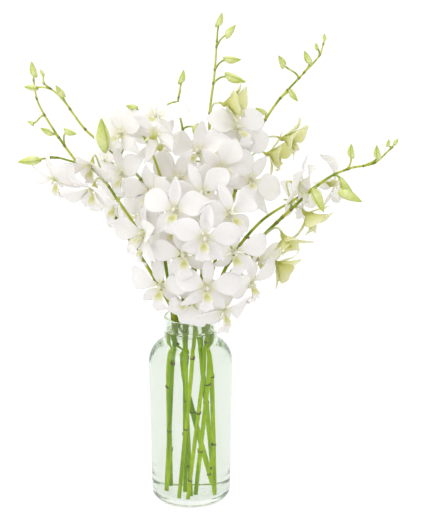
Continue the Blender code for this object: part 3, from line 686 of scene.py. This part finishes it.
# The blooms and buds that each stem carries; a bud is its middle, the way it points, and its length
BLOOMS_ON = {
    "left_arch": [20, 21, 37, 46], "left_high": [15, 38, 39, 47], "left_low": [1, 13, 17, 18, 19],
    "left_middle": [3, 11, 12, 14, 16], "middle_thin": [26, 29, 40, 41], "middle_tall": [22, 23, 24, 42, 43],
    "right_high": [25, 27, 35, 36, 44], "right_wide": [5, 6, 30, 31, 32, 33], "right_back": [7, 34, 45],
    "front": [2, 4, 8, 9, 10, 28],
}
BUDS_ON = {
    "left_arch": [((-173, 46, 490), (-3, -1, 16), 19), ((-178, 50, 430), (-8, 0, 5), 9),
                  ((-159, 36, 423), (-9, -3, 6), 17), ((-134, 44, 420), (9, -4, -2), 17)],
    "left_high": [((-170, 8, 476), (-12, -2, 2), 16), ((-158, 8, 492), (-4, 0, 7), 8),
                  ((-138, -6, 474), (-6, -3, 10), 17), ((-90, -42, 434), (-1, -2, 14), 38)],
    "left_low": [((-166, -54, 409), (-14, -2, -1), 25)],
    "left_middle": [((-60, -34, 462), (-7, -4, 2), 14)],
    "middle_thin": [((-8, 29, 484), (4, 0, 14), 17), ((-30, 22, 454), (-8, -4, -1), 12),
                    ((6, 18, 428), (-2, -8, -8), 17)],
    "middle_tall": [((33, 14, 547), (5, 0, 13), 17), ((44, 10, 536), (9, -2, 12), 18),
                    ((46, 6, 506), (13, -3, 0), 20), ((49, 4, 486), (15, -3, -5), 25)],
    "right_high": [((147, 40, 526), (-1, -2, 7), 9), ((138, 34, 517), (-2, -3, 8), 9),
                   ((128, 32, 505), (-5, -2, 10), 18), ((101, 36, 500), (-4, -4, 9), 18),
                   ((114, 34, 463), (5, -3, -7), 16), ((78, 34, 446), (-8, -4, 5), 16)],
    "right_wide": [((221, -19, 422), (3, -1, 6), 9), ((212, -25, 422), (1, -2, 8), 9),
                   ((200, -28, 412), (-2, -2, 11), 18), ((172, -30, 414), (-1, -3, 11), 18),
                   ((136, -58, 368), (13, -4, -27), 29), ((170, -54, 371), (28, -4, -12), 28)],
    "right_back": [((172, 22, 364), (9, -6, -8), 25)],
    "front": [],
}
CUT_END = FLOOR + 0.9
NECK_LEVEL = 207.0
STEM_RADIUS = 2.0
TIP_RADIUS = 0.9
STALK_RADIUS = 1.05
STALK_LENGTH = 30.0
LOWEST_STALK = 14.0
LINE_STEP = 3.0
BUD_JOINT = 0.3  # how far along a bud its stalk joins it
TOP_BUD = 9.5  # a bud this near a stem's tip grows from the tip itself
STALK_SINK = 0.3  # how far a stalk runs into its bloom


def smooth_step(a, b, c, d, t):
    """A point between b and c on the smooth curve that also passes through a and d."""
    span = (c - b).length
    leaving = (c - a) * span / ((b - a).length + span)
    arriving = (d - b) * span / (span + (d - c).length)
    return (b * (2 * t**3 - 3 * t**2 + 1) + leaving * (t**3 - 2 * t**2 + t)
            + c * (3 * t**2 - 2 * t**3) + arriving * (t**3 - t**2))


def stem_line(foot, upper):
    """A stem's line with a point every few millimetres, from its cut end to its tip."""
    base = Vector((foot[0], foot[1], CUT_END))
    points = [Vector((upper[0][0], upper[0][1], NECK_LEVEL))] + [Vector(point) for point in upper[1:]]
    count = round((points[0] - base).length / LINE_STEP)
    line = [base.lerp(points[0], step / count) for step in range(count + 1)]
    for a, b, c, d in zip([base.lerp(points[0], 0.8)] + points, points, points[1:],
                          points[2:] + [points[-1] * 2 - points[-2]]):
        count = max(2, round((c - b).length / LINE_STEP))
        line += [smooth_step(a, b, c, d, step / count) for step in range(1, count + 1)]
    return line


def stalk_line(stem, end, facing, least):
    """The arch from a stem to the back of a bloom or bud, which looks along facing."""
    line = [point for point in stem if point.z > NECK_LEVEL + LOWEST_STALK]
    root = min(range(len(line)), key=lambda i: (line[i] - end).length)
    while root > 0 and (line[root] - end).length < least:
        root -= 1
    start = line[root]
    along = (line[min(root + 1, len(line) - 1)] - line[max(root - 1, 0)]).normalized()
    reach = (end - start).length
    a = start + ((end - start).normalized() * 0.7 + along * 0.5).normalized() * reach * 0.35
    b = end - facing * min(12.0, reach * 0.4)
    count = max(6, round(reach / LINE_STEP))
    shares = [step / count for step in range(count + 1)]
    return [start * (1 - t)**3 + a * 3 * t * (1 - t)**2 + b * 3 * t * t * (1 - t) + end * t**3
            for t in shares]


lines = {name: stem_line(foot, upper) for name, (foot, upper) in STEMS.items()}
stalks = {name: [] for name in STEMS}
for name, numbers in BLOOMS_ON.items():
    for number in numbers:
        seat, kind = seats[number]
        facing = seat.to_3x3() @ UP
        end = seat.translation / MM - facing * (ROOT_BACK * KINDS[kind][1] - STALK_SINK)
        stalks[name].append(stalk_line(lines[name], end, facing, STALK_LENGTH))

bud_places = {name: [] for name in STEMS}
for name, rows in BUDS_ON.items():
    for middle, pointing, length in rows:
        way = Vector(pointing).normalized()
        back = Vector(middle) - way * length / 2
        joint = back + way * length * BUD_JOINT
        near = min(lines[name], key=lambda point: (point - joint).length)
        at_top = (lines[name][-1] - joint).length < TOP_BUD
        arriving = (way * 0.5 + (joint - near).normalized()).normalized()
        stalk = stalk_line(lines[name], joint, arriving, 0.0 if at_top else 4 + 0.8 * length)
        stalks[name].append(stalk)
        bud_places[name].append((back, way, joint - stalk[0], length))
print("stalks:", sum(len(rows) for rows in stalks.values()))

# %% [markdown]
# A stem grows in sections. Where two meet there is a node: the stem swells, and a small dry
# scale, called a bract, hugs it. Stalks spring from the nodes too. Tubes of changing width are
# what a bevelled curve gives, so each stem is drawn as one curve with all its stalks, its radius
# set point by point, and then turned to a mesh.

# %% Stems
NODE_SPACING = 80.0
LOWEST_NODE = 15.0
NODE_SHIFT = 31.0  # how much higher each next stem's nodes are
NODE_RANGE = 70.0  # after which they start low again
NODE_CLEAR = 9.0  # no node is this near to where a stalk leaves
NODE_SWELL = 0.22  # share of the radius added at a node
NODE_LENGTH = 2.2
NODE_SHADE = 2.6  # how far its darker green reaches


def stem_radii(line):
    """A stem keeps its thickness in the bottle and thins from the neck to its tip."""
    walked = [0.0]
    for before, point in zip(line, line[1:]):
        walked.append(walked[-1] + (point - before).length * (point.z > NECK_LEVEL))
    return [TIP_RADIUS + (STEM_RADIUS - TIP_RADIUS) * (1 - (far / walked[-1]) ** 2) for far in walked]


def nodes_on(line, roots, first):
    """Places of the nodes: where stalks leave, and between them at an even spacing."""
    nodes, walked, due = [], 0.0, first
    for before, point in zip(line, line[1:]):
        walked += (point - before).length
        taken = min(((point - root).length for root in roots), default=99.0)
        if walked >= due and taken > NODE_CLEAR:
            nodes.append(point)
            due = walked + NODE_SPACING
    return nodes + roots


def tubes(name, rows):
    """One mesh from tubes, each a line of points and a radius at every point, in mm."""
    curve = bpy.data.curves.new(name, "CURVE")
    curve.dimensions = "3D"
    curve.bevel_depth = MM
    curve.bevel_resolution = 4
    curve.use_fill_caps = True
    for points, radii in rows:
        spline = curve.splines.new("POLY")
        spline.points.add(len(points) - 1)
        for place, point, radius in zip(spline.points, points, radii):
            place.co = (*(point * MM), 1.0)
            place.radius = radius
    shape = bpy.data.objects.new(name, curve)
    bpy.context.collection.objects.link(shape)
    bpy.ops.object.select_all(action="DESELECT")
    shape.select_set(True)
    bpy.context.view_layer.objects.active = shape
    bpy.ops.object.convert(target="MESH")
    return shape


nodes, stems = {}, {}
for index, (name, line) in enumerate(lines.items()):
    first = LOWEST_NODE + index * NODE_SHIFT % NODE_RANGE
    nodes[name] = nodes_on(line, [stalk[0] for stalk in stalks[name]], first)
    rows, radii = [], []
    for point, radius in zip(line, stem_radii(line)):
        near = min((point - node).length for node in nodes[name])
        radii.append(radius * (1 + NODE_SWELL * max(0.0, 1 - (near / NODE_LENGTH) ** 2)))
    rows.append((line, radii))
    for stalk in stalks[name]:
        count = len(stalk) - 1
        widths = [STALK_RADIUS * (1.25 - 0.35 * math.sin(math.pi * i / count)) for i in range(count + 1)]
        rows.append((stalk, widths))
    stems[name] = tubes("orchid_stem_" + name, rows)
print("stems:", len(stems), "nodes:", sum(len(found) for found in nodes.values()))

# %% [markdown]
# The finish of a stem changes along it. In the water it is a bright yellow-green, partly its own
# colour and partly painted light: it is brighter than a real stem, to stand in for light that
# the glass and water hold back. Above it is a duller olive, and towards its blooms paler. Nodes
# are darker. Height gives the first change, and attributes on the mesh give the paler stalks and
# the darker nodes. Painted shade in lengthwise streaks, laid at random, stands in for the shaded
# sides of the stems.

# %% Stem finish
# Firm green plant tissue: a thin waxy skin over fibres, which show as fine lines
stem_skin, tree, shader, place = new_material("waxy_stem_skin")
height = add_node(tree, "SeparateXYZ", {"Vector": place}).outputs["Z"]
level = add_node(tree, "MapRange", {"Value": height, "From Min": 0.0, "From Max": 0.55}).outputs["Result"]
# Painted light: below the water line the stem is brighter than a real one, for light that glass and water
# hold back
by_height = ramp(tree, level, (0.0, "#E4FF14"), (1.0, "#E2E286"), (0.34, "#D6F812"), (0.40, "#A6B02C"),
                 (0.6, "#C2C84C"))
stretched = add_node(tree, "Mapping", {"Vector": place, "Scale": (1.0, 1.0, 0.06)}).outputs["Vector"]
fibres = noise_of(tree, stretched, 1.2, 2.0)
streaked = mixed(tree, 0.6, by_height, ramp(tree, fibres, (0.3, "#D8DCC8"), (0.7, "#FFFFFF")))
blotches = noise_of(tree, place, 9, 2.0)
blotched = mixed(tree, 0.5, streaked, ramp(tree, blotches, (0.35, "#DDE6C4"), (0.65, "#FFFFFF")))
# Painted shade: darker lengthwise streaks, placed at random, stand in for the shaded sides of the stems
upright = add_node(tree, "Mapping", {"Vector": place, "Scale": (1.0, 1.0, 0.03)}).outputs["Vector"]
sides = noise_of(tree, upright, 7, 1.0)
side_shaded = mixed(tree, 0.85, blotched, ramp(tree, sides, (0.38, "#A6C070"), (0.58, "#FFFFFF")))
paler = mixed(tree, read_mark(tree, "pale"), side_shaded, linear("#E6EAC8"), "MIX")
darker = mixed(tree, read_mark(tree, "node"), paler, linear("#5A6A24"), "MIX")
set_inputs(shader, {"Base Color": darker, "Normal": relief(tree, fibres, 0.3, 0.0002), "Roughness": 0.42,
                    "Specular IOR Level": 0.1, "Subsurface Weight": 0.15,
                    "Subsurface Radius": (0.6, 1.0, 0.3), "Subsurface Scale": 0.001})

for name, stem in stems.items():
    bloom_stalks = stalks[name][:len(BLOOMS_ON[name])]
    stalk_points = [(point, i / (len(stalk) - 1)) for stalk in bloom_stalks for i, point in enumerate(stalk)]
    stem_points = lines[name] + [point for stalk in stalks[name][len(bloom_stalks):] for point in stalk]

    def paleness(place):
        """Grows along a bloom's stalk from the stem to the bloom."""
        to_stem = min((place - point).length for point in stem_points)
        nearest, share = min(((place - point).length, share) for point, share in stalk_points)
        return share * 0.9 if nearest < to_stem else 0.0

    def darkness(place):
        """Grows towards the nearest node."""
        return max(0.0, 1 - min((place - node).length for node in nodes[name]) / NODE_SHADE)

    mark(stem, "pale", paleness)
    mark(stem, "node", darkness)
    stem.data.materials.append(stem_skin)
    stem.data.shade_smooth()
print("stem finish:", stem_skin.name)

# %% [markdown]
# A bud is a closed bloom: a plump drop with a point at its tip. Its foot runs out sideways into a
# short chin, away from the stalk. One is drawn out ring by ring, like the column, and then copied
# for each bud with its chin turned away from the stem.

# %% Buds
BUD_LEAST = 0.8
BUD_GROWTH = 0.19
# A ring: share of the length, share of the radius, and shift towards the chin
BUD_RINGS = [(0.0, 0.12, 0.62), (0.05, 0.32, 0.5), (0.13, 0.62, 0.28), (0.25, 0.94, 0.04), (0.4, 1.0, -0.06),
             (0.58, 0.84, -0.04), (0.76, 0.55, 0.04), (0.91, 0.26, 0.14), (1.0, 0.07, 0.2)]

bud_model = draw_out("bud", 10, BUD_RINGS, 1)
mark(bud_model, "ripe", lambda p: p.z)
mark(bud_model, "seam", lambda p: math.atan2(p.y, p.x) / math.tau)
print("bud:", len(bud_model.data.polygons), "faces")

# Young bud: yellow-green wax, paler in the middle, with faint lines where its sepals meet
bud_skin, tree, shader, place = new_material("young_bud_skin")
along_bud = ramp(tree, read_mark(tree, "ripe"), (0.0, "#C3CE70"), (1.0, "#B9C75E"), (0.3, "#E6E9AE"),
                 (0.65, "#D6DD88"))
mottle = noise_of(tree, place, 4, 2.0)
mottled = mixed(tree, 0.7, along_bud, ramp(tree, mottle, (0.3, "#E6EDCB"), (0.7, "#FFFFFF")))
round_bud = add_node(tree, "CombineXYZ", {"X": read_mark(tree, "seam")}).outputs["Vector"]
seams = add_node(tree, "TexWave", {"Vector": round_bud, "Scale": 0.95, "Distortion": 0.0},
                 wave_type="BANDS", bands_direction="X").outputs["Fac"]
lined = mixed(tree, 0.5, mottled, ramp(tree, seams, (0.0, "#9DB048"), (0.16, "#FFFFFF")))
set_inputs(shader, {"Base Color": lined, "Normal": relief(tree, mottle, 0.2, 0.0002), "Roughness": 0.45,
                    "IOR": 1.4, "Subsurface Weight": 0.3,
                    "Subsurface Radius": (0.6, 1.0, 0.3), "Subsurface Scale": 0.002})
bud_model.data.materials.append(bud_skin)

buds = {name: [] for name in STEMS}
for name, rows in bud_places.items():
    for back, way, reach, length in rows:
        chin = (reach - way * reach.dot(way)).normalized()
        turn = Matrix((chin.cross(way), chin, way)).transposed().to_4x4()
        width = BUD_LEAST + BUD_GROWTH * length
        size = Matrix.Diagonal((width, width, length, 1.0))
        buds[name].append(copy_of(bud_model, Matrix.Translation(back * MM) @ turn @ size))
bpy.data.objects.remove(bud_model)
print("buds:", sum(len(found) for found in buds.values()))

# %% [markdown]
# A bract is a papery scale round the stem just above a node. It is a short open tube, one side
# of which is drawn up to a point. It is modelled once and copied to every node, on alternate
# sides, as the leaves of this plant stand. A bract that could pierce a petal is left off.

# %% Bracts
BRACT_SIZE = 1.08  # against the stem's radius
BRACT_HEIGHT = 0.8
BRACT_SINK = 0.8  # how far below the node it starts, in mm
BRACT_CLEAR = 2.0  # to a petal, beyond its own radius

bpy.ops.object.select_all(action="DESELECT")
bpy.ops.mesh.primitive_cylinder_add(vertices=10, radius=1.1 * MM, depth=2.0 * MM, end_fill_type="NOTHING",
                                    location=(0, 0, 1.0 * MM))
bract = bpy.context.object
bpy.ops.object.transform_apply(location=True, rotation=False, scale=False)
bpy.ops.object.mode_set(mode="EDIT")
bpy.ops.mesh.select_mode(type="VERT")
pick(bract, lambda point: point.z > 1.9 * MM and point.x > 0.3 * MM)
bpy.ops.mesh.extrude_region_move(TRANSFORM_OT_translate={"value": (0.15 * MM, 0, 1.3 * MM)})
bpy.ops.transform.resize(value=(1, 0.7, 1), center_override=(1.2 * MM, 0, 3.3 * MM))
bpy.ops.mesh.extrude_region_move(TRANSFORM_OT_translate={"value": (0.25 * MM, 0, 1.4 * MM)})
bpy.ops.transform.resize(value=(1, 0.25, 1), center_override=(1.5 * MM, 0, 4.7 * MM))
bpy.ops.object.mode_set(mode="OBJECT")
finish_with(bract, "SOLIDIFY", thickness=0.12 * MM, offset=1.0)
finish_with(bract, "SUBSURF", levels=1, render_levels=1)

# Dry bract: papery straw brown, in fine specks
dry_bract, tree, shader, place = new_material("dry_bract")
specks = noise_of(tree, place, 1.5, 3.0)
set_inputs(shader, {"Base Color": ramp(tree, specks, (0.3, "#5A4E18"), (0.7, "#958A3A")), "Roughness": 0.7,
                    "Normal": relief(tree, specks, 0.4, 0.0002)})
bract.data.materials.append(dry_bract)


def near_petal(place, gap):
    """True where a petal is nearer than the gap, both in mm, so that a bract could pierce it."""
    place = place * MM
    return any((bloom.closest_point_on_mesh(place)[1] - place).length < gap * MM for bloom in blooms)


bpy.context.view_layer.update()
bracts = {name: [] for name in STEMS}
for name, line in lines.items():
    radii = stem_radii(line)
    for count, node in enumerate(sorted(nodes[name], key=lambda point: point.z)):
        place = min(range(1, len(line) - 1), key=lambda i: (line[i] - node).length)
        way = (line[place + 1] - line[place - 1]).normalized()
        size = radii[place] * BRACT_SIZE
        if near_petal(node + way, BRACT_CLEAR + size):
            continue
        stand = way.to_track_quat("Z", "Y").to_matrix().to_4x4()
        turn = Matrix.Rotation(math.pi * count + 0.6, 4, "Z")
        move = Matrix.Translation((node - way * BRACT_SINK) * MM)
        stretch = Matrix.Diagonal((size, size, BRACT_HEIGHT, 1.0))
        bracts[name].append(copy_of(bract, move @ stand @ turn @ stretch))
bpy.data.objects.remove(bract)

for name, stem in stems.items():
    stem = joined("orchid_stem_" + name, [stem] + buds[name] + bracts[name])
    stem.data.shade_smooth()
    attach(stem, "root")
    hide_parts("stem_" + name)
print("bracts:", sum(len(found) for found in bracts.values()))
